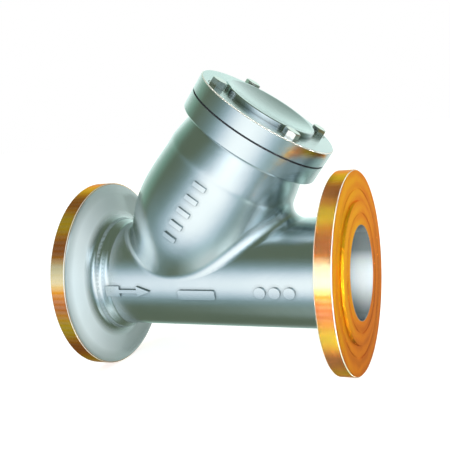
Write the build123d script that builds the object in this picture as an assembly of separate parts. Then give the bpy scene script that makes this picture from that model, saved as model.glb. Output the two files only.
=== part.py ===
"""Flanged y strainer, DN 125 PN 40: cast body, bolted cover, gasket and screen basket.

Origin: centre of the inlet flange's face, on the pipe axis. +X is the flow direction,
+Z is up, and the screen branch leans downstream in the XZ plane. Millimetres.
The parts on the branch are drawn upright about Z, with z as the distance along the
branch axis from the point where it crosses the pipe axis, and then leant over.
"""
import math
import os

from build123d import *

# ---- driving dimensions -------------------------------------------------------------------

FACE_TO_FACE = 400.0
NOMINAL_BORE = 125.0
PIPE_OD = 149.0

FLANGE_OD = 270.0
FLANGE_THICKNESS = 26.0
FLANGE_CHAMFER = 1.5
RAISED_FACE_OD = 188.0
RAISED_FACE_HEIGHT = 3.0
BOLT_CIRCLE_SCRIBE = 220.0
SEAL_SCRIBE = 156.0
SCRIBE_WIDTH = 1.4
SCRIBE_DEPTH = 0.6
MACHINED_BORE_LENGTH = 40.0
CAST_BORE_STEP = 0.75

HUB_RIDGE_R = 81.0
HUB_RIDGE_X = 45.0
HUB_END_X = 58.0
OUTLET_ROOT_R = 12.0

BRANCH_X = 117.0
BRANCH_ANGLE = 52.2
BRANCH_FOOT = -70.0
BRANCH_MAX_R = 99.0
BRANCH_WIDEST_AT = 118.0
BRANCH_NECK_SLOPE = 0.236
BRANCH_NECK_R = 86.5
PIPE_BLEND_R = 18.0

BONNET_OD = 203.0
BONNET_FLANGE_BASE = 229.0
BONNET_FLANGE_TOP = 254.4
BONNET_BLEND_R = 5.0
GASKET_THICKNESS = 1.0
COVER_THICKNESS = 23.2
COVER_CHAMFER = 1.5
COVER_BOSS_R = 67.5
COVER_BOSS_HEIGHT = 7.0
COVER_DISH_R = 63.0
COVER_DISH_DEPTH = 9.0
SPIGOT_R = 67.4
SPIGOT_DEPTH = 5.5

SCREW_CIRCLE_R = 82.3
SCREW_COUNT = 4
SCREW_FIRST_ANGLE = 45.0
SCREW_R = 6.0
SCREW_LENGTH = 40.0
SCREW_HEAD_FLATS = 19.0
SCREW_HEAD_HEIGHT = 9.0
THREAD_CLEARANCE = 0.06
TAPPED_DEPTH = 20.0
CLEARANCE_HOLE_R = 7.0
SPOT_FACE_R = 13.0
BOSS_SCALLOP_R = 17.0
WASHER_R = 12.0
WASHER_HOLE_R = 6.5
WASHER_THICKNESS = 2.5
UNDER_HEAD_GAP = 0.02

NECK_BORE_R = 68.0
CHAMBER_R = 83.0
PARTITION_HALF = 5.0
SEAT_HOLE_R = 59.0
SEAT_BORE_R = 54.0
SEAT_RISE = 3.0
PRESS_GAP = 0.02

TUBE_R = 59.5
TUBE_WALL = 1.5
TUBE_TOP = 243.0
MESH_GAP = 0.1
MESH_WALL = 0.6
PERFORATION_SIDE = 9.0
PERFORATIONS_ROUND = 24
PERFORATION_ROWS = 12
RING_COLLAR = 9.0
COLLAR_WALL = 1.6
RING_LIP = 3.0
TOP_RING_R = 67.5
WELD_GAP = 0.1

MARK_HEIGHT = 3.0
MARK_Z = -11.0
ARROW_TAIL_X = 52.0
ARROW_TIP_X = 122.0
ARROW_HEAD = 20.0
ARROW_TAIL = 22.0
ARROW_HALF_WIDTH = 7.5
SHAFT_HALF_WIDTH = 2.4
BLANK_PAD_X = 193.0
BLANK_PAD_SIZE = (54.0, 13.0)
PIP_R = 7.5
PIP_PLACES = (284.0, 304.0, 324.0)
BAR_COUNT = 5
BAR_FIRST = 88.0
BAR_PITCH = 20.0
BAR_SIZE = (19.0, 6.0)

# ---- worked out from them -----------------------------------------------------------------

BORE_R = NOMINAL_BORE / 2
PIPE_R = PIPE_OD / 2
FLANGE_R = FLANGE_OD / 2
BONNET_R = BONNET_OD / 2
COVER_BASE = BONNET_FLANGE_TOP + GASKET_THICKNESS
COVER_TOP = COVER_BASE + COVER_THICKNESS
BOSS_TOP = COVER_TOP + COVER_BOSS_HEIGHT
SEAT_TOP = PARTITION_HALF + SEAT_RISE
SPIGOT_BASE = COVER_BASE - SPIGOT_DEPTH
COLLAR_R = TUBE_R + COLLAR_WALL
SCREW_ANGLES = [SCREW_FIRST_ANGLE + n * 360 / SCREW_COUNT for n in range(SCREW_COUNT)]

AXIS_COS = math.cos(math.radians(BRANCH_ANGLE))
AXIS_SIN = math.sin(math.radians(BRANCH_ANGLE))
LEAN = Location(
    Plane(origin=(BRANCH_X, 0, 0), x_dir=(-AXIS_SIN, 0, AXIS_COS), z_dir=(AXIS_COS, 0, AXIS_SIN))
)


def disc(radius, low, high):
    """An upright cylinder about Z, from height low to height high."""
    return Pos(0, 0, (low + high) / 2) * Cylinder(radius, high - low)


def ring(outer, inner, low, high):
    return disc(outer, low, high) - disc(inner, low - 1, high + 1)


def along_x(radius, start, end):
    """A cylinder on the pipe axis."""
    return Pos((start + end) / 2, 0, 0) * Rot(0, 90, 0) * Cylinder(radius, end - start)


def at_screws(solid):
    """One copy of an upright solid on each screw's axis."""
    return [Rot(0, 0, angle) * Pos(SCREW_CIRCLE_R, 0, 0) * solid for angle in SCREW_ANGLES]


def mirrored_end(solid):
    """The same feature on the outlet end."""
    return mirror(solid, about=Plane.YZ.offset(FACE_TO_FACE / 2))


# ---- body ---------------------------------------------------------------------------------

def branch_bulb(grow=0.0):
    """The outside of the branch: it swells out of the pipe and narrows to the bonnet neck."""
    neck_r = BRANCH_NECK_R + grow
    blend_base = BONNET_FLANGE_BASE - BONNET_BLEND_R
    blend_top_r = neck_r + BONNET_BLEND_R
    top = BONNET_FLANGE_BASE + 2
    bulb = Spline(
        (0, BRANCH_FOOT - grow), (64 + grow, -10), (71 + grow, 10), (80 + grow, 34), (91 + grow, 62),
        (BRANCH_MAX_R - 2 + grow, 88), (BRANCH_MAX_R + grow, BRANCH_WIDEST_AT),
        (BRANCH_MAX_R - 4.3 + grow, 180), (neck_r, blend_base),
        tangents=((1, 0), (-BRANCH_NECK_SLOPE, 1)),
    )
    blend = RadiusArc((neck_r, blend_base), (blend_top_r, BONNET_FLANGE_BASE), BONNET_BLEND_R)
    closing = Polyline(
        (blend_top_r, BONNET_FLANGE_BASE), (blend_top_r, top), (0, top), (0, BRANCH_FOOT - grow)
    )
    return revolve(Rot(90, 0, 0) * make_face([bulb, blend, closing]), Axis.Z)


def flange_rim():
    """Half section of a flange from its centre, over the raised face and the rim, to its back."""
    back = FLANGE_THICKNESS
    return Polyline(
        (0, 0), (0, RAISED_FACE_OD / 2), (RAISED_FACE_HEIGHT, RAISED_FACE_OD / 2 + 1),
        (RAISED_FACE_HEIGHT, FLANGE_R - FLANGE_CHAMFER), (RAISED_FACE_HEIGHT + FLANGE_CHAMFER, FLANGE_R),
        (back - FLANGE_CHAMFER, FLANGE_R), (back, FLANGE_R - FLANGE_CHAMFER),
    )


def inlet_flange():
    """The inlet flange with its hub: a deep hollow behind the rim, then a rounded ridge."""
    back = FLANGE_THICKNESS
    hollow = Spline(
        (back, FLANGE_R - FLANGE_CHAMFER), (back + 4, 104), (HUB_RIDGE_X - 6, HUB_RIDGE_R + 0.5),
        (HUB_RIDGE_X + 2, HUB_RIDGE_R - 0.5), (HUB_END_X, PIPE_R),
        tangents=((0, -1), (1, 0)),
    )
    closing = Polyline((HUB_END_X, PIPE_R), (HUB_END_X, 0), (0, 0))
    return revolve(make_face([flange_rim(), hollow, closing]), Axis.X)


def outlet_flange():
    """The outlet flange, whose flat back meets the pipe in a plain fillet."""
    back = FLANGE_THICKNESS
    flat = Line((back, FLANGE_R - FLANGE_CHAMFER), (back, PIPE_R + OUTLET_ROOT_R))
    root = RadiusArc((back, PIPE_R + OUTLET_ROOT_R), (back + OUTLET_ROOT_R, PIPE_R), -OUTLET_ROOT_R)
    closing = Polyline((back + OUTLET_ROOT_R, PIPE_R), (back + OUTLET_ROOT_R, 0), (0, 0))
    return mirrored_end(revolve(make_face([flange_rim(), flat, root, closing]), Axis.X))


def bonnet_flange():
    """The round flange that the cover is screwed to, with a fillet down to the neck."""
    plate = disc(BONNET_R, BONNET_FLANGE_BASE, BONNET_FLANGE_TOP)
    plate = chamfer(plate.edges().sort_by(Axis.Z)[0], COVER_CHAMFER)
    return LEAN * plate


def flow_arrow():
    """Outline of the flow arrow: broad tail, thin shaft, pointed head."""
    head_x = ARROW_TIP_X - ARROW_HEAD
    shaft_x = ARROW_TAIL_X + ARROW_TAIL
    half = [
        (ARROW_TAIL_X, ARROW_HALF_WIDTH), (shaft_x, ARROW_HALF_WIDTH), (shaft_x, SHAFT_HALF_WIDTH),
        (head_x, SHAFT_HALF_WIDTH), (head_x, ARROW_HALF_WIDTH), (ARROW_TIP_X, 0),
    ]
    lower = [(x, -z) for x, z in reversed(half[:-1])]
    return make_face(Polyline(*half, *lower, close=True))


def pipe_marks():
    """The arrow, a blank cast pad and three pips, raised on the front of the pipe."""
    faces = [flow_arrow(), Pos(BLANK_PAD_X, -4) * RectangleRounded(*BLANK_PAD_SIZE, 3)]
    faces += [Pos(x, 0) * Circle(PIP_R) for x in PIP_PLACES]
    skin = along_x(PIPE_R + MARK_HEIGHT, ARROW_TAIL_X - 5, FACE_TO_FACE - HUB_END_X)
    front = Plane(origin=(0, 8 - PIPE_R, MARK_Z), x_dir=(1, 0, 0), z_dir=(0, -1, 0))
    return [(front * extrude(face, 20)) & skin for face in faces]


def branch_marks():
    """Five plain raised bars in a row along the front of the branch."""
    skin = branch_bulb(MARK_HEIGHT)
    across, along = BAR_SIZE
    heights = [BAR_FIRST + BAR_PITCH * n for n in range(BAR_COUNT)]
    bars = [Pos(-3, BRANCH_MAX_R, height) * Box(across, 20, along) for height in heights]
    return [LEAN * (bar & skin) for bar in bars]


def casting_blank():
    """The solid outside of the casting, with its blends and raised marks."""
    pipe = along_x(PIPE_R, FLANGE_THICKNESS - 1, FACE_TO_FACE - FLANGE_THICKNESS + 1)
    shell = pipe + LEAN * branch_bulb()
    crease = [e for e in shell.edges() if e.geom_type == GeomType.BSPLINE and e.length > 300]
    shell = fillet(crease, PIPE_BLEND_R)
    shell = shell + inlet_flange() + outlet_flange() + bonnet_flange()
    return shell + pipe_marks() + branch_marks()


def partition_side(cutter, keep):
    """The part of a cutter on one side of the slanted inner wall."""
    offset = PARTITION_HALF if keep == Keep.TOP else -PARTITION_HALF
    wall = Plane(
        origin=(BRANCH_X + offset * AXIS_COS, 0, offset * AXIS_SIN), z_dir=(AXIS_COS, 0, AXIS_SIN)
    )
    return split(cutter, bisect_by=wall, keep=keep)


def passages():
    """The hollows: inlet passage, screen chamber with its neck, and outlet passage."""
    cast_r = BORE_R - CAST_BORE_STEP
    inlet = partition_side(along_x(cast_r, -1, BRANCH_X + 100), Keep.BOTTOM)
    outlet = partition_side(along_x(cast_r, BRANCH_X, FACE_TO_FACE + 1), Keep.TOP)
    foot_r = cast_r + 1
    wall = Spline(
        (foot_r, PARTITION_HALF), (CHAMBER_R - 12, 45), (CHAMBER_R, 100), (CHAMBER_R - 1, 140),
        (NECK_BORE_R, 200),
        tangents=((0.2, 1), (0, 1)),
    )
    closing = Polyline(
        (NECK_BORE_R, 200), (NECK_BORE_R, BONNET_FLANGE_TOP + 1), (0, BONNET_FLANGE_TOP + 1),
        (0, PARTITION_HALF), (foot_r, PARTITION_HALF),
    )
    chamber = LEAN * revolve(Rot(90, 0, 0) * make_face([wall, closing]), Axis.Z)
    return [inlet, outlet, chamber]


def machined_cuts():
    """End bores, the seat's hole, tapped holes and the fine rings scribed on the flanges."""
    bore = along_x(BORE_R, -1, MACHINED_BORE_LENGTH)
    scribes = scribed_rings()
    seat = LEAN * disc(SEAT_HOLE_R, -PARTITION_HALF - 1, PARTITION_HALF + 1)
    tapped = disc(SCREW_R + THREAD_CLEARANCE, BONNET_FLANGE_TOP - TAPPED_DEPTH, BONNET_FLANGE_TOP + 1)
    holes = [LEAN * hole for hole in at_screws(tapped)]
    return [bore, mirrored_end(bore), scribes, mirrored_end(scribes), seat, *holes]


def scribed_rings():
    half = SCRIBE_WIDTH / 2
    bolt_circle = BOLT_CIRCLE_SCRIBE / 2
    seal = SEAL_SCRIBE / 2
    outer = ring(
        bolt_circle + half, bolt_circle - half, RAISED_FACE_HEIGHT - 1, RAISED_FACE_HEIGHT + SCRIBE_DEPTH
    )
    inner = ring(seal + half, seal - half, -1, SCRIBE_DEPTH)
    return Rot(0, 90, 0) * (outer + inner)


def make_body():
    return casting_blank() - passages() - machined_cuts()


# ---- cover and its fastening --------------------------------------------------------------

def make_cover():
    """Blind cover: a raised, dished boss scalloped at each screw, spot faces, a spigot below."""
    plate = chamfer(
        disc(BONNET_R, COVER_BASE, COVER_TOP).edges().filter_by(GeomType.CIRCLE), COVER_CHAMFER
    )
    boss = disc(COVER_BOSS_R, COVER_TOP - 1, BOSS_TOP)
    boss = chamfer(boss.edges().sort_by(Axis.Z)[-1], 1.0)
    sphere_r = (COVER_DISH_R ** 2 + COVER_DISH_DEPTH ** 2) / (2 * COVER_DISH_DEPTH)
    dish = Pos(0, 0, BOSS_TOP - COVER_DISH_DEPTH + sphere_r) * Sphere(sphere_r)
    spigot = disc(SPIGOT_R, SPIGOT_BASE, COVER_BASE + 1)
    spigot = chamfer(spigot.edges().sort_by(Axis.Z)[0], 1.0)
    seat_z = COVER_TOP - WASHER_THICKNESS
    pockets = at_screws(disc(SPOT_FACE_R, seat_z, COVER_TOP + 1))
    scallops = at_screws(disc(BOSS_SCALLOP_R, COVER_TOP, BOSS_TOP + 1))
    holes = at_screws(disc(CLEARANCE_HOLE_R, SPIGOT_BASE - 1, BOSS_TOP))
    return (plate + boss + spigot) - dish - scallops - pockets - holes


def make_gasket():
    """Full-face joint ring, a little inside the rim."""
    sheet = ring(BONNET_R - 1.0, NECK_BORE_R + 0.5, BONNET_FLANGE_TOP, COVER_BASE)
    return sheet - at_screws(disc(CLEARANCE_HOLE_R, BONNET_FLANGE_TOP - 1, COVER_BASE + 1))


def make_washer():
    return ring(WASHER_R, WASHER_HOLE_R, COVER_TOP - WASHER_THICKNESS, COVER_TOP - UNDER_HEAD_GAP)


def make_screw():
    """Hexagon-head screw: chamfered head on a washer, plain round shank with a pointed end."""
    hexagon = RegularPolygon(SCREW_HEAD_FLATS / 2, 6, major_radius=False)
    head = Pos(0, 0, COVER_TOP) * extrude(hexagon, SCREW_HEAD_HEIGHT)
    corner_r = SCREW_HEAD_FLATS / math.sqrt(3)
    dome = Pos(0, 0, COVER_TOP + SCREW_HEAD_HEIGHT) * Rot(180, 0, 0) * head_cone(corner_r)
    shank = disc(SCREW_R, COVER_TOP - SCREW_LENGTH, COVER_TOP + 1)
    shank = chamfer(shank.edges().sort_by(Axis.Z)[0], 1.5)
    return (head & dome) + shank


def head_cone(corner_r):
    """The 30 degree cone that takes the corners off a hexagon head."""
    low_r = SCREW_HEAD_FLATS / 2 * 0.96
    depth = 30.0
    return Pos(0, 0, depth / 2) * Cone(low_r, low_r + depth / math.tan(math.radians(30)), depth)


# ---- screen basket ------------------------------------------------------------------------

def make_seat_ring():
    """Pressed into the inner wall; the basket stands on its upper face."""
    return ring(SEAT_HOLE_R - PRESS_GAP, SEAT_BORE_R, -PARTITION_HALF, SEAT_TOP)


def make_bottom_ring():
    lip = ring(COLLAR_R, SEAT_BORE_R + 1, SEAT_TOP, SEAT_TOP + RING_LIP)
    lip_top = SEAT_TOP + RING_LIP
    collar = ring(COLLAR_R, TUBE_R + WELD_GAP, lip_top - 0.5, lip_top + RING_COLLAR)
    return lip + collar


def make_top_ring():
    lip = ring(TOP_RING_R, TUBE_R - 3, TUBE_TOP, SPIGOT_BASE - 0.3)
    collar = ring(COLLAR_R, TUBE_R + WELD_GAP, TUBE_TOP - RING_COLLAR, TUBE_TOP + 0.5)
    return lip + collar


def make_screen_tube():
    """Rolled perforated sheet, with staggered rows of square holes."""
    low = SEAT_TOP + RING_LIP
    tube = ring(TUBE_R, TUBE_R - TUBE_WALL, low, TUBE_TOP)
    first = low + RING_COLLAR + PERFORATION_SIDE
    last = TUBE_TOP - RING_COLLAR - PERFORATION_SIDE
    punch = Pos(TUBE_R, 0, 0) * Box(8, PERFORATION_SIDE, PERFORATION_SIDE)
    punches = []
    for row in range(PERFORATION_ROWS):
        height = first + (last - first) * row / (PERFORATION_ROWS - 1)
        for step in range(PERFORATIONS_ROUND):
            turn = (step + 0.5 * (row % 2)) * 360 / PERFORATIONS_ROUND
            punches.append(Pos(0, 0, height) * Rot(0, 0, turn) * punch)
    return tube - punches


def make_screen_mesh():
    outer = TUBE_R - TUBE_WALL - MESH_GAP
    return ring(outer, outer - MESH_WALL, SEAT_TOP + RING_LIP, TUBE_TOP)


def main():
    os.makedirs("parts", exist_ok=True)
    pieces = {
        "cover": make_cover(),
        "cover_gasket": make_gasket(),
        "seat_ring": make_seat_ring(),
        "screen_tube": make_screen_tube(),
        "screen_mesh": make_screen_mesh(),
        "screen_bottom_ring": make_bottom_ring(),
        "screen_top_ring": make_top_ring(),
    }
    for number, (washer, screw) in enumerate(zip(at_screws(make_washer()), at_screws(make_screw())), 1):
        pieces[f"washer_{number}"] = washer
        pieces[f"cover_screw_{number}"] = screw
    pieces = {name: LEAN * solid for name, solid in pieces.items()}
    pieces["body"] = make_body()
    for name, solid in pieces.items():
        export_step(solid, f"parts/{name}.step")


if __name__ == "__main__":
    main()
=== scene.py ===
"""Looks of the flanged y strainer: satin silver-blue paint, gold machined flanges, studio light."""
import math

import bpy
from mathutils import Matrix, Vector


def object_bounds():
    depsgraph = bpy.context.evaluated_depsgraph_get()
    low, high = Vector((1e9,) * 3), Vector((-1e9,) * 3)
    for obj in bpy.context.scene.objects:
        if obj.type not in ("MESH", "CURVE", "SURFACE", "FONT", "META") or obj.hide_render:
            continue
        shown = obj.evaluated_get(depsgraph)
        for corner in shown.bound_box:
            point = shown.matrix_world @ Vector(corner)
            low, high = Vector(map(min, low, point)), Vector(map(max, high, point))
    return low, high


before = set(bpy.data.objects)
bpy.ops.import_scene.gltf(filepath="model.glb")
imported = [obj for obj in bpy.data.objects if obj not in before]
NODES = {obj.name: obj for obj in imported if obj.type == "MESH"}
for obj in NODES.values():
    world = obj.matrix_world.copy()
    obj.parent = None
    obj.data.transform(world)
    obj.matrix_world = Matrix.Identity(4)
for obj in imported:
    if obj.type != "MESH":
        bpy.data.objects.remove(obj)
cad_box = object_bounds()

# ---- geometry of the part, in metres ------------------------------------------------------

RUN_LENGTH = cad_box[1].x - cad_box[0].x
HALF_RUN = RUN_LENGTH / 2
FLANGE_THICKNESS = 0.026
FLANGE_R = cad_box[1].y
RAISED_FACE = 0.003
BORE_R = 0.0625
BRANCH_X = 0.117
BRANCH_ANGLE = math.radians(52.2)
AXIS_COS = math.cos(BRANCH_ANGLE)
AXIS_SIN = math.sin(BRANCH_ANGLE)
COVER_R = 0.1015
COVER_TOP = 0.2786

# ---- camera -------------------------------------------------------------------------------

CAMERA_AZIMUTH = math.radians(24.28)
CAMERA_ELEVATION = math.radians(7.46)
CAMERA_ROLL = math.radians(4.89)
CAMERA_DISTANCE = 1.0163
CAMERA_TARGET = Vector((0.2099, 0.0, 0.0678))
CAMERA_LENS = 58.06


def make_camera():
    """The photo's view: a level camera turned by its roll about the line of sight."""
    back = Vector((
        math.sin(CAMERA_AZIMUTH) * math.cos(CAMERA_ELEVATION),
        -math.cos(CAMERA_AZIMUTH) * math.cos(CAMERA_ELEVATION),
        math.sin(CAMERA_ELEVATION),
    ))
    level_right = Vector((math.cos(CAMERA_AZIMUTH), math.sin(CAMERA_AZIMUTH), 0))
    level_up = back.cross(level_right)
    right = level_right * math.cos(CAMERA_ROLL) - level_up * math.sin(CAMERA_ROLL)
    up = level_up * math.cos(CAMERA_ROLL) + level_right * math.sin(CAMERA_ROLL)
    data = bpy.data.cameras.new("camera")
    data.lens = CAMERA_LENS
    data.clip_start = 0.05
    camera = bpy.data.objects.new("camera", data)
    bpy.context.scene.collection.objects.link(camera)
    turn = Matrix((right, up, back)).transposed().to_4x4()
    camera.matrix_world = Matrix.Translation(CAMERA_TARGET + back * CAMERA_DISTANCE) @ turn
    bpy.context.scene.camera = camera


# ---- node helpers -------------------------------------------------------------------------

class Graph:
    """Short names for building a node tree."""

    def __init__(self, tree):
        self.tree = tree

    def node(self, kind, **settings):
        made = self.tree.nodes.new(kind)
        for key, value in settings.items():
            setattr(made, key, value)
        return made

    def link(self, source, target):
        self.tree.links.new(source, target)

    def put(self, value, socket):
        """A socket gets a link or a plain value."""
        if isinstance(value, bpy.types.NodeSocket):
            self.link(value, socket)
        else:
            socket.default_value = value

    def math(self, operation, *values, clamp=False):
        made = self.node("ShaderNodeMath", operation=operation, use_clamp=clamp)
        for value, socket in zip(values, made.inputs):
            self.put(value, socket)
        return made.outputs[0]

    def add(self, first, second):
        return self.math("ADD", first, second)

    def minus(self, first, second, clamp=False):
        return self.math("SUBTRACT", first, second, clamp=clamp)

    def times(self, first, second):
        return self.math("MULTIPLY", first, second)

    def over(self, first, second):
        return self.math("DIVIDE", first, second)

    def squares(self, first, second):
        """The sum of two squares."""
        return self.add(self.times(first, first), self.times(second, second))

    def sine(self, value, pitch):
        """A sine that repeats once in each pitch."""
        return self.math("SINE", self.times(value, 2 * math.pi / pitch))

    def split(self, coords):
        made = self.node("ShaderNodeSeparateXYZ")
        self.link(coords, made.inputs[0])
        return made.outputs

    def vector(self, operation, *values):
        made = self.node("ShaderNodeVectorMath", operation=operation)
        for value, socket in zip(values, made.inputs):
            self.put(value, socket)
        return made.outputs[0]

    def scaled(self, vector, factor):
        made = self.node("ShaderNodeVectorMath", operation="SCALE")
        self.link(vector, made.inputs[0])
        self.put(factor, made.inputs["Scale"])
        return made.outputs[0]

    def face_normal(self):
        return self.node("ShaderNodeNewGeometry").outputs["Normal"]

    def noise(self, coords, scale, detail=3.0, roughness=0.5):
        made = self.node("ShaderNodeTexNoise")
        self.link(coords, made.inputs["Vector"])
        made.inputs["Scale"].default_value = scale
        made.inputs["Detail"].default_value = detail
        made.inputs["Roughness"].default_value = roughness
        return made.outputs["Fac"]

    def ramp(self, value, stops, interpolation="LINEAR"):
        """stops: (position, colour) pairs."""
        made = self.node("ShaderNodeValToRGB")
        made.color_ramp.interpolation = interpolation
        elements = made.color_ramp.elements
        while len(elements) < len(stops):
            elements.new(0.5)
        for element, (position, colour) in zip(elements, stops):
            element.position = position
            element.color = (*colour, 1.0)
        self.put(value, made.inputs["Fac"])
        return made.outputs["Color"]

    def mix(self, factor, first, second, blend="MIX"):
        made = self.node("ShaderNodeMix", data_type="RGBA", blend_type=blend)
        self.put(factor, made.inputs["Factor"])
        colour_in = [s for s in made.inputs if s.type == "RGBA"]
        self.put(first if isinstance(first, bpy.types.NodeSocket) else (*first, 1.0), colour_in[0])
        self.put(second if isinstance(second, bpy.types.NodeSocket) else (*second, 1.0), colour_in[1])
        return [s for s in made.outputs if s.type == "RGBA"][0]

    def corners(self, reach):
        """0 deep in an inside corner, 1 on open surface; it darkens the colour into painted shade in
        corners.
        """
        made = self.node("ShaderNodeAmbientOcclusion", only_local=True, samples=8)
        made.inputs["Distance"].default_value = reach
        return made.outputs["AO"]

    def bump(self, height, strength, distance, normal=None):
        made = self.node("ShaderNodeBump")
        self.put(height, made.inputs["Height"])
        made.inputs["Strength"].default_value = strength
        made.inputs["Distance"].default_value = distance
        if normal is not None:
            self.link(normal, made.inputs["Normal"])
        return made.outputs["Normal"]


def start_material(name, metallic, roughness):
    """A Principled material with its graph, shader and row-frame coordinates."""
    material = bpy.data.materials.new(name)
    material.use_nodes = True
    graph = Graph(material.node_tree)
    shader = material.node_tree.nodes["Principled BSDF"]
    shader.inputs["Metallic"].default_value = metallic
    shader.inputs["Roughness"].default_value = roughness
    coords = graph.node("ShaderNodeTexCoord").outputs["Object"]
    return material, graph, shader, coords


def pipe_coords(graph, coords):
    """(distance along the pipe, distance from its axis)."""
    x, y, z = graph.split(coords)
    return x, graph.math("SQRT", graph.squares(y, z))


def end_coords(graph, coords):
    """(distance from the middle of the pipe's length, distance from its axis)."""
    x, radius = pipe_coords(graph, coords)
    return graph.math("ABSOLUTE", graph.minus(x, HALF_RUN)), radius


def branch_coords(graph, coords):
    """(distance along the branch, the two sideways distances from its axis)."""
    x, y, z = graph.split(coords)
    x = graph.minus(x, BRANCH_X)
    along = graph.add(graph.times(x, AXIS_COS), graph.times(z, AXIS_SIN))
    side = graph.minus(graph.times(z, AXIS_COS), graph.times(x, AXIS_SIN))
    return along, side, y


def within(graph, value, low, high, soft):
    """1 where low < value < high, with a soft edge."""
    rise = graph.node("ShaderNodeMapRange", clamp=True)
    fall = graph.node("ShaderNodeMapRange", clamp=True)
    for made, edge, start in ((rise, low, 0.0), (fall, high, 1.0)):
        graph.put(value, made.inputs["Value"])
        made.inputs["From Min"].default_value = edge - soft
        made.inputs["From Max"].default_value = edge + soft
        made.inputs["To Min"].default_value = start
        made.inputs["To Max"].default_value = 1.0 - start
    return graph.times(rise.outputs[0], fall.outputs[0])


# ---- materials ----------------------------------------------------------------------------

# Masks: how soft their edges are, how deep an edge's chamfer reaches, and distances past the part.
SHARP = 0.0002
SOFT = 0.0004
EDGE_DEPTH = 0.0016
PAST_EDGE = 0.001
PAST_END = 0.01
PAST_ALL = 1.0

PAINT_LIGHT = (0.74, 0.79, 0.80)
PAINT_DARK = (0.60, 0.68, 0.70)
# Painted shade: the colour in inside corners and at the top and bottom of the bore, and how far the
# corner shade reaches.
PAINTED_SHADE = (0.16, 0.19, 0.19)
PAINT_ROUGHNESS = (0.13, 0.12)
CORNER_SHADE_REACH = 0.006
GRAIN_RATE = 900.0
GRAIN_HEIGHT = 0.0005
LUMP_RATE = 60.0
LUMP_HEIGHT = 0.0010
CLOUD_RATE = 14.0
# Painted highlight: a pale matt band on the chamfers, which shows as a bright edge line.
PAINTED_EDGE_HIGHLIGHT = (0.95, 0.90, 0.82)
EDGE_HIGHLIGHT_MATT = 0.60


def spread(graph, value, low, span):
    """low where value is 0, low + span where it is 1."""
    return graph.add(graph.times(value, span), low)


def cast_paint_layers(graph, coords):
    """Colour, roughness and normal of satin paint over sand-cast steel, with painted shade in inside
    corners.
    """
    grain = graph.noise(coords, GRAIN_RATE, 4.0, 0.6)
    lumps = graph.noise(coords, LUMP_RATE)
    clouds = graph.noise(coords, CLOUD_RATE)
    open_colour = graph.mix(clouds, PAINT_DARK, PAINT_LIGHT)
    # Painted shade: the colour goes dark in inside corners.
    colour = graph.mix(graph.corners(CORNER_SHADE_REACH), PAINTED_SHADE, open_colour)
    fine = graph.bump(grain, 0.20, GRAIN_HEIGHT)
    normal = graph.bump(lumps, 0.12, LUMP_HEIGHT, fine)
    return colour, spread(graph, grain, *PAINT_ROUGHNESS), normal


RAISED_EDGE = 0.0012
# Where the painted highlight band on the flange chamfers starts and how soft it is.
EDGE_HIGHLIGHT_DEPTH = 0.0011
EDGE_HIGHLIGHT_START = 0.0003
EDGE_HIGHLIGHT_SOFT = 0.0003
GROOVE_SLOPE = 0.10
FACE_GROOVE_PITCH = 0.0009
RIM_GROOVE_PITCH = 0.0008
# Painted reflections on the gold: light and dark bands round the rim, drifting rings round the face,
# and the face lighter towards the upper front.
RIM_REFLECTION_BANDS = 11.0
RIM_REFLECTION_SHIFT = -1.80
# Painted highlight: a pale band across the front of the gold rims, its angles, edge, colour and share.
HIGHLIGHT_BAND = (0.06, 0.31)
HIGHLIGHT_BAND_SOFT = 0.05
PAINTED_HIGHLIGHT_COLOUR = (1.00, 0.84, 0.58)
HIGHLIGHT_SHARE = 0.7
FACE_REFLECTION_RINGS = 2 * math.pi / 0.019
FACE_BAND_DRIFT = 0.018
FACE_RING_SHARE = 0.28
FACE_LIGHT_TURN = -math.pi / 4
DRIFT_RATE = 22.0
STAIN_RATE = 30.0
STAIN_SHARE = 0.5
TONE_SHIFT = 0.25
GOLD_ROUGHNESS = (0.14, 0.14)
GOLD_MATT = 0.14
GOLD_EDGE = (1.0, 0.45, 0.03)
# Gold from deep orange to yellow: painted shade and painted light from the reflection bands, also
# shifted at random by the stain.
GOLD_TONES = [
    (0.05, (0.62, 0.17, 0.020)),
    (0.45, (0.88, 0.32, 0.015)),
    (0.95, (1.00, 0.58, 0.012)),
]


def grooved_normal(graph, coords, radius, turned, feed):
    """The face's own normal, rocked outwards and along the pipe by fine lathe grooves."""
    outward = graph.vector("MULTIPLY", coords, (0.0, 1.0, 1.0))
    rock = graph.scaled(outward, graph.over(graph.times(turned, GROOVE_SLOPE), radius))
    lengthwise = graph.node("ShaderNodeCombineXYZ")
    graph.link(graph.times(feed, GROOVE_SLOPE), lengthwise.inputs[0])
    both = graph.vector("ADD", rock, lengthwise.outputs[0])
    return graph.vector("NORMALIZE", graph.vector("ADD", graph.face_normal(), both))


def gold_layers(graph, coords):
    """Colour, roughness and normal of gold lacquer over lathe-turned faces; its colour carries painted
    reflections and a painted highlight.
    """
    x, radius = pipe_coords(graph, coords)
    turned = graph.sine(radius, FACE_GROOVE_PITCH)
    feed = graph.sine(x, RIM_GROOVE_PITCH)
    stain = graph.noise(coords, STAIN_RATE, 4.0, 0.6)
    painted_bands, pale = painted_gold_light(graph, coords, radius)
    tone = graph.minus(graph.add(painted_bands, graph.times(stain, STAIN_SHARE)), TONE_SHIFT)
    # Painted highlight: the pale band lightens the gold.
    colour = graph.mix(graph.times(pale, HIGHLIGHT_SHARE), graph.ramp(tone, GOLD_TONES), PAINTED_HIGHLIGHT_COLOUR)
    normal = grooved_normal(graph, coords, radius, turned, feed)
    return colour, spread(graph, stain, *GOLD_ROUGHNESS), normal


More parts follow.
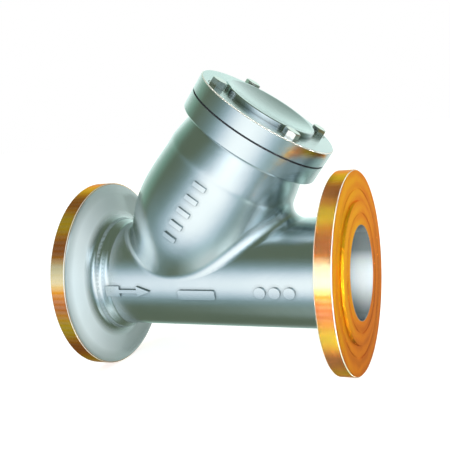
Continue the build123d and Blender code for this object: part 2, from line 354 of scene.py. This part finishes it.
def painted_gold_light(graph, coords, radius):
    """(painted reflections: light and dark bands round the rim, rings round the face and a face
    lighter towards the upper front; 1 in the painted highlight band).
    """
    x, y, z = graph.split(coords)
    turn = graph.math("ARCTAN2", z, graph.times(y, -1.0))
    # Painted reflections: bands round the rim and rings round the face.
    rim = wave(graph, turn, RIM_REFLECTION_BANDS, RIM_REFLECTION_SHIFT)
    drift = graph.times(graph.noise(coords, DRIFT_RATE, 2.0), FACE_BAND_DRIFT)
    rings = wave(graph, graph.add(radius, drift), FACE_REFLECTION_RINGS, 0.0)
    painted_lit_side = wave(graph, turn, 1.0, FACE_LIGHT_TURN)
    face = graph.add(graph.times(rings, FACE_RING_SHARE), graph.times(painted_lit_side, 1.0 - FACE_RING_SHARE))
    on_rim = within(graph, radius, FLANGE_R - EDGE_DEPTH, PAST_ALL, SOFT)
    painted_bands = graph.add(graph.times(rim, on_rim), graph.times(face, graph.minus(1.0, on_rim)))
    return painted_bands, graph.times(within(graph, turn, *HIGHLIGHT_BAND, HIGHLIGHT_BAND_SOFT), on_rim)


def wave(graph, value, rate, shift):
    """A smooth wave between 0 and 1."""
    angle = graph.add(graph.times(value, rate), shift)
    return spread(graph, graph.math("COSINE", angle), 0.5, 0.5)


def gold_mask(graph, coords):
    """1 on the turned rims and faces of the two end flanges."""
    reach, radius = end_coords(graph, coords)
    rim = graph.times(
        within(graph, reach, HALF_RUN - FLANGE_THICKNESS - SOFT, HALF_RUN + PAST_END, SHARP),
        within(graph, radius, FLANGE_R - EDGE_DEPTH, PAST_ALL, SOFT),
    )
    face = graph.times(
        within(graph, reach, HALF_RUN - RAISED_FACE - RAISED_EDGE, HALF_RUN + PAST_END, SHARP),
        within(graph, radius, BORE_R + SOFT, PAST_ALL, SHARP),
    )
    return graph.math("MAXIMUM", rim, face)


def flange_edge_highlights(graph, coords):
    """1 on the chamfers round the end flanges, where a pale matt band is painted on as a highlight
    line.
    """
    reach, radius = end_coords(graph, coords)
    return graph.times(
        within(graph, radius, FLANGE_R - EDGE_HIGHLIGHT_DEPTH, FLANGE_R - EDGE_HIGHLIGHT_START, EDGE_HIGHLIGHT_SOFT),
        within(graph, reach, HALF_RUN - FLANGE_THICKNESS - SOFT, HALF_RUN - RAISED_FACE + SOFT, SHARP),
    )


BACK_MATT = 0.80
BACK_SLOPE = 0.75
BACK_HOLLOW_X = 0.036
BACK_HOLLOW_R = 0.090
BACK_EDGE = 0.0008
BACK_SOFT_X = 0.003
BACK_SOFT_R = 0.006
BORE_MATT = 0.34
# Painted light and shade in the bore: how far below mid height its bright line sits, and how fast it
# darkens above and below.
BORE_HIGHLIGHT_DROP = 0.020
BORE_SHADE_FALL = 2.5


def back_and_bore_masks(graph, coords):
    """(1 on the painted backs of the end flanges, 1 inside the bore)."""
    reach, radius = end_coords(graph, coords)
    back_face = HALF_RUN - FLANGE_THICKNESS
    back = graph.times(
        within(graph, reach, HALF_RUN - BACK_HOLLOW_X, back_face + PAST_EDGE, BACK_SOFT_X),
        within(graph, radius, BACK_HOLLOW_R, FLANGE_R - BACK_EDGE, BACK_SOFT_R),
    )
    return back, within(graph, radius, 0.0, BORE_R + SHARP, SHARP)


def sloped_normal(graph, coords):
    """Shades the back of an end flange as if it fell away towards the rim like a shallow cone."""
    outward = graph.vector("MULTIPLY", coords, (0.0, BACK_SLOPE, BACK_SLOPE))
    leaning = graph.vector("ADD", graph.face_normal(), graph.scaled(outward, 1 / FLANGE_R))
    return graph.vector("NORMALIZE", leaning)


def blend_vectors(graph, factor, first, second):
    blend = graph.node("ShaderNodeMix", data_type="VECTOR")
    graph.link(factor, blend.inputs["Factor"])
    vectors = [s for s in blend.inputs if s.type == "VECTOR"]
    graph.link(first, vectors[-2])
    graph.link(second, vectors[-1])
    return [s for s in blend.outputs if s.type == "VECTOR"][0]


def painted_bore_shade(graph, coords, bore):
    """1 outside the bore; inside it, painted light and shade: bright a little below mid height and
    darkened above and below.
    """
    x, y, z = graph.split(coords)
    height = graph.over(graph.add(z, BORE_HIGHLIGHT_DROP), BORE_R)
    fall = graph.times(graph.times(height, height), BORE_SHADE_FALL)
    return graph.minus(1.0, graph.times(bore, fall), clamp=True)


def make_body_material():
    """Painted casting with gold flange rims and faces, matt backs and bore, painted highlights on the
    chamfers and painted shade in corners and the bore.
    """
    material, graph, shader, coords = start_material("cast_body", 1.0, 0.30)
    paint, paint_rough, paint_normal = cast_paint_layers(graph, coords)
    gold, gold_rough, gold_normal = gold_layers(graph, coords)
    mask = gold_mask(graph, coords)
    keep = graph.minus(1.0, mask)
    back, bore = back_and_bore_masks(graph, coords)
    edge_highlight = flange_edge_highlights(graph, coords)
    # Painted shade at the top and bottom of the bore.
    paint = graph.mix(painted_bore_shade(graph, coords, bore), PAINTED_SHADE, paint)
    # Painted highlight: a pale matt band on the flange chamfers.
    colour = graph.mix(edge_highlight, graph.mix(mask, paint, gold), PAINTED_EDGE_HIGHLIGHT)
    rough = graph.add(graph.times(paint_rough, keep), graph.times(gold_rough, mask))
    matt = graph.add(graph.times(back, BACK_MATT), graph.times(bore, BORE_MATT))
    matt = graph.add(graph.times(matt, keep), graph.times(mask, GOLD_MATT))
    matt = graph.math("MAXIMUM", matt, graph.times(edge_highlight, EDGE_HIGHLIGHT_MATT))
    painted = blend_vectors(graph, back, paint_normal, sloped_normal(graph, coords))
    graph.link(colour, shader.inputs["Base Color"])
    graph.link(rough, shader.inputs["Roughness"])
    graph.link(graph.minus(1.0, matt), shader.inputs["Metallic"])
    graph.link(graph.mix(mask, (1.0, 1.0, 1.0), GOLD_EDGE), shader.inputs["Specular Tint"])
    graph.link(blend_vectors(graph, mask, painted, gold_normal), shader.inputs["Normal"])
    return material


def make_cover_material():
    """The casting's paint, with a pale matt painted highlight on the chamfer round the cover."""
    material, graph, shader, coords = start_material("cast_cover", 1.0, 0.30)
    paint, rough, normal = cast_paint_layers(graph, coords)
    along, side, y = branch_coords(graph, coords)
    radius = graph.math("SQRT", graph.squares(side, y))
    # Painted highlight: a pale matt band on the chamfer round the cover.
    edge_highlight = graph.times(
        within(graph, radius, COVER_R - EDGE_DEPTH, COVER_R - SHARP, SHARP),
        within(graph, along, COVER_TOP - EDGE_DEPTH, COVER_TOP + PAST_EDGE, SHARP),
    )
    graph.link(graph.mix(edge_highlight, paint, PAINTED_EDGE_HIGHLIGHT), shader.inputs["Base Color"])
    graph.link(graph.minus(1.0, graph.times(edge_highlight, EDGE_HIGHLIGHT_MATT)), shader.inputs["Metallic"])
    graph.link(rough, shader.inputs["Roughness"])
    graph.link(normal, shader.inputs["Normal"])
    return material


FLECK_RATE = 700.0
FLECK_HEIGHT = 0.0003
GASKET_TONES = [(0.35, (0.012, 0.012, 0.014)), (0.75, (0.05, 0.05, 0.055))]
TARNISH_RATE = 160.0
FINISH_HEIGHT = 0.0002
ZINC_TONES = [(0.3, (0.74, 0.74, 0.69)), (0.7, (0.92, 0.92, 0.90))]
ZINC_ROUGHNESS = (0.12, 0.20)
THREAD_HEIGHT = 0.0008
HALF_THREAD = 0.001
HEAD_SIDE = 0.004
WASHER_TONES = ((0.80, 0.80, 0.77), (0.60, 0.60, 0.56))
STAINLESS_TONES = ((0.72, 0.73, 0.74), (0.52, 0.53, 0.54))
SCREEN_TONES = ((0.70, 0.71, 0.72), (0.55, 0.56, 0.57))
STEEL_CLOUD_RATE = 60.0
TURNED_PITCH = 0.0007
WIRE_TONES = [(0.0, (0.08, 0.085, 0.09)), (0.6, (0.5, 0.51, 0.52))]
WIRE_PITCH = 0.0015
WIRE_HEIGHT = 0.0004
WIRES_ROUND = 240.0


def make_gasket_material():
    """Dark pressed fibre sheet."""
    material, graph, shader, coords = start_material("gasket", 0.0, 0.75)
    fleck = graph.noise(coords, FLECK_RATE, 2.0)
    graph.link(graph.ramp(fleck, GASKET_TONES), shader.inputs["Base Color"])
    graph.link(graph.bump(fleck, 0.3, FLECK_HEIGHT), shader.inputs["Normal"])
    return material


def make_screw_material():
    """Bright zinc plate, a little tarnished, with a rolled thread on the shank."""
    material, graph, shader, coords = start_material("screw_steel", 1.0, 0.28)
    along = branch_coords(graph, coords)[0]
    tarnish = graph.noise(coords, TARNISH_RATE, 4.0, 0.6)
    graph.link(graph.ramp(tarnish, ZINC_TONES), shader.inputs["Base Color"])
    thread = graph.math("PINGPONG", along, HALF_THREAD)
    shank = within(graph, along, 0.0, COVER_TOP - HEAD_SIDE, SOFT)
    height = graph.times(graph.times(thread, 1 / HALF_THREAD), shank)
    fine = graph.bump(tarnish, 0.15, FINISH_HEIGHT)
    graph.link(graph.bump(height, 1.0, THREAD_HEIGHT, fine), shader.inputs["Normal"])
    graph.link(spread(graph, tarnish, *ZINC_ROUGHNESS), shader.inputs["Roughness"])
    return material


def make_steel_material(name, light, dark, roughness):
    """Turned stainless steel: fine rings about the branch axis."""
    material, graph, shader, coords = start_material(name, 1.0, roughness)
    along = branch_coords(graph, coords)[0]
    clouds = graph.noise(coords, STEEL_CLOUD_RATE)
    graph.link(graph.mix(clouds, dark, light), shader.inputs["Base Color"])
    rings = graph.sine(along, TURNED_PITCH)
    graph.link(graph.bump(rings, 0.12, FINISH_HEIGHT), shader.inputs["Normal"])
    graph.link(spread(graph, clouds, roughness - 0.1, 0.2), shader.inputs["Roughness"])
    return material


def make_mesh_material():
    """Woven wire: crossed waves along and round the basket."""
    material, graph, shader, coords = start_material("mesh_wire", 1.0, 0.45)
    along, side, y = branch_coords(graph, coords)
    turn = graph.math("ARCTAN2", y, side)
    warp = graph.math("SINE", graph.times(turn, WIRES_ROUND))
    weave = graph.times(warp, graph.sine(along, WIRE_PITCH))
    graph.link(graph.ramp(weave, WIRE_TONES), shader.inputs["Base Color"])
    graph.link(graph.bump(weave, 0.6, WIRE_HEIGHT), shader.inputs["Normal"])
    return material


def dress(material, *names):
    """Each named CAD node shows this material and no other."""
    for name in names:
        mesh = NODES[name].data
        mesh.materials.clear()
        mesh.materials.append(material)


def dress_everything():
    """Every CAD node gets its material."""
    dress(make_body_material(), "body")
    dress(make_cover_material(), "cover")
    dress(make_gasket_material(), "cover_gasket")
    screws = [n for n in NODES if n.startswith("cover_screw_")]
    washers = [n for n in NODES if n.startswith("washer_")]
    dress(make_screw_material(), *screws)
    dress(make_steel_material("washer_steel", *WASHER_TONES, 0.32), *washers)
    rings = ["seat_ring", "screen_bottom_ring", "screen_top_ring"]
    dress(make_steel_material("stainless", *STAINLESS_TONES, 0.30), *rings)
    dress(make_steel_material("screen_steel", *SCREEN_TONES, 0.34), "screen_tube")
    dress(make_mesh_material(), "screen_mesh")


# ---- floor and light ----------------------------------------------------------------------

FLOOR_SIZE = 60.0
FLOOR_COLOUR = (0.62, 0.60, 0.58, 1.0)
FLOOR_GLOW = 0.80


def make_floor():
    """A plain pale floor that the two flanges stand on."""
    lowest = cad_box[0].z
    half = FLOOR_SIZE / 2
    mesh = bpy.data.meshes.new("floor")
    corners = [(x * half, y * half, lowest) for x, y in ((-1, -1), (1, -1), (1, 1), (-1, 1))]
    mesh.from_pydata(corners, [], [(0, 1, 2, 3)])
    floor = bpy.data.objects.new("floor", mesh)
    bpy.context.scene.collection.objects.link(floor)
    material, _, shader, _ = start_material("floor", 0.0, 0.9)
    shader.inputs["Base Color"].default_value = FLOOR_COLOUR
    shader.inputs["Emission Color"].default_value = (1.0, 1.0, 1.0, 1.0)
    shader.inputs["Emission Strength"].default_value = FLOOR_GLOW
    shader.inputs["Specular IOR Level"].default_value = 0.0
    mesh.materials.append(material)
    floor.visible_glossy = False
    floor.visible_diffuse = False


# Directions of the studio's panels, as (degrees to the right of straight in front, degrees up).
KEY_CENTRE = (4, -12)
KEY_RIGHT_END = (60, -2)
KEY_HALF_HEIGHT = 0.54
KEY_HALF_LENGTH = 0.80
KEY_STOPS = [
    (0.00, (1.30, 1.28, 1.32)),
    (0.25, (1.14, 1.14, 1.20)),
    (0.38, (0.80, 0.85, 0.98)),
    (0.50, (0.33, 0.43, 0.55)),
    (0.60, (0.09, 0.15, 0.20)),
    (0.73, (0.00, 0.00, 0.00)),
]
SHADE = (0.138, 0.176, 0.122)
BLACK = (0.0, 0.0, 0.0)

# The round panels: direction, then the colour at each number of degrees from the panel's centre.
REAR_PANEL = (
    (180, 2),
    [(0, (0.75, 0.80, 0.82)), (20, (0.62, 0.68, 0.70)), (38, (0.25, 0.32, 0.33)), (60, BLACK)],
)
LEFT_REAR_PANEL = (
    (-138, 10),
    [(0, (0.62, 0.72, 0.70)), (14, (0.42, 0.55, 0.52)), (32, (0.11, 0.24, 0.20)), (52, BLACK)],
)
LOW_PANEL = (
    (25, -70),
    [(0, (0.60, 0.62, 0.66)), (12, (0.52, 0.58, 0.62)), (20, (0.24, 0.30, 0.32)), (36, BLACK)],
)
UPPER_PANEL = (
    (26, 20),
    [(0, (0.80, 0.82, 0.86)), (12, (0.66, 0.70, 0.76)), (22, (0.18, 0.24, 0.27)), (30, BLACK)],
)
RIGHT_LOW_PANEL = (
    (62, -56),
    [(0, (0.60, 0.64, 0.68)), (6, (0.46, 0.52, 0.56)), (13, BLACK)],
)
ROUND_PANELS = [REAR_PANEL, LEFT_REAR_PANEL, LOW_PANEL, UPPER_PANEL, RIGHT_LOW_PANEL]

# Lights that mirror-like surfaces don't see: place, aim, power and spread of the two boxes.
BOX_SIZE = (0.30, 0.30)
FRONT_BOX = ((0.66, -0.95, 0.05), (0.4, 0.0, 0.0), 1.1, 22.0)
INLET_BOX = ((0.36, -1.05, -0.22), (0.03, -0.10, 0.0), 50.0, 180.0)
SUN_DIRECTION = (-20, 62)
SUN_STRENGTH = 1.3
SUN_SPREAD = 60


def toward(right, up):
    """Unit vector from the object towards a panel."""
    right, up = math.radians(right), math.radians(up)
    return Vector((math.sin(right) * math.cos(up), -math.cos(right) * math.cos(up), math.sin(up)))


def dot(graph, direction, fixed):
    made = graph.node("ShaderNodeVectorMath", operation="DOT_PRODUCT")
    graph.link(direction, made.inputs[0])
    made.inputs[1].default_value = fixed
    return made.outputs["Value"]


def key_panel(graph, direction):
    """A wide soft panel in front: its brightness falls off in an oval about its centre."""
    centre = toward(*KEY_CENTRE)
    upward = toward(*KEY_RIGHT_END).cross(centre).normalized()
    sideways = upward.cross(centre)
    side = graph.over(dot(graph, direction, sideways), KEY_HALF_LENGTH)
    end = graph.over(dot(graph, direction, upward), KEY_HALF_HEIGHT)
    behind = graph.math("LESS_THAN", dot(graph, direction, centre), 0.0)
    distance = graph.add(graph.math("SQRT", graph.squares(side, end)), graph.times(behind, 2.0))
    return graph.ramp(graph.over(distance, 2.0), KEY_STOPS)


def round_panel(graph, direction, centre, stops):
    """A soft round panel: stops give its colour at each distance from its centre, in degrees."""
    angle = graph.math("ARCCOSINE", dot(graph, direction, toward(*centre)))
    halves = [(degrees / 180, colour) for degrees, colour in stops]
    return graph.ramp(graph.over(angle, math.pi), halves)


def make_world():
    """Soft studio: a wide panel in front, round ones about it and behind, shade elsewhere."""
    world = bpy.data.worlds.new("studio")
    bpy.context.scene.world = world
    world.use_nodes = True
    graph = Graph(world.node_tree)
    background = world.node_tree.nodes["Background"]
    output = world.node_tree.nodes["World Output"]
    direction = graph.node("ShaderNodeTexCoord").outputs["Generated"]
    light = graph.mix(1.0, key_panel(graph, direction), SHADE, "ADD")
    for centre, stops in ROUND_PANELS:
        light = graph.mix(1.0, light, round_panel(graph, direction, centre, stops), "ADD")
    graph.link(light, background.inputs["Color"])
    background.inputs["Strength"].default_value = 1.0
    backdrop = graph.node("ShaderNodeBackground")
    backdrop.inputs["Color"].default_value = (1.0, 1.0, 1.0, 1.0)
    paths = graph.node("ShaderNodeLightPath")
    switch = graph.node("ShaderNodeMixShader")
    graph.link(paths.outputs["Is Camera Ray"], switch.inputs[0])
    graph.link(background.outputs[0], switch.inputs[1])
    graph.link(backdrop.outputs[0], switch.inputs[2])
    graph.link(switch.outputs[0], output.inputs["Surface"])


def make_soft_sun(name, direction, strength, spread_angle):
    """Broad light that matte surfaces see and mirror-like ones don't."""
    data = bpy.data.lights.new(name, "SUN")
    data.energy = strength
    data.angle = math.radians(spread_angle)
    sun = bpy.data.objects.new(name, data)
    bpy.context.scene.collection.objects.link(sun)
    sun.rotation_mode = "QUATERNION"
    sun.rotation_quaternion = (-direction).to_track_quat("-Z", "Y")
    sun.visible_glossy = False
    sun.visible_camera = False


def make_soft_box(name, place, aim, power, spread_angle):
    """A square box light that matte surfaces see and mirror-like ones don't."""
    data = bpy.data.lights.new(name, "AREA")
    data.shape = "RECTANGLE"
    data.size, data.size_y = BOX_SIZE
    data.energy = power
    data.spread = math.radians(spread_angle)
    lamp = bpy.data.objects.new(name, data)
    bpy.context.scene.collection.objects.link(lamp)
    lamp.location = place
    lamp.rotation_mode = "QUATERNION"
    lamp.rotation_quaternion = (Vector(aim) - Vector(place)).to_track_quat("-Z", "Y")
    lamp.visible_camera = False
    lamp.visible_glossy = False


dress_everything()
make_floor()
make_world()
make_soft_box("front_box", *FRONT_BOX)
make_soft_box("inlet_box", *INLET_BOX)
make_soft_sun("overhead_sun", toward(*SUN_DIRECTION), SUN_STRENGTH, SUN_SPREAD)
make_camera()
bpy.context.scene.view_settings.view_transform = "Standard"
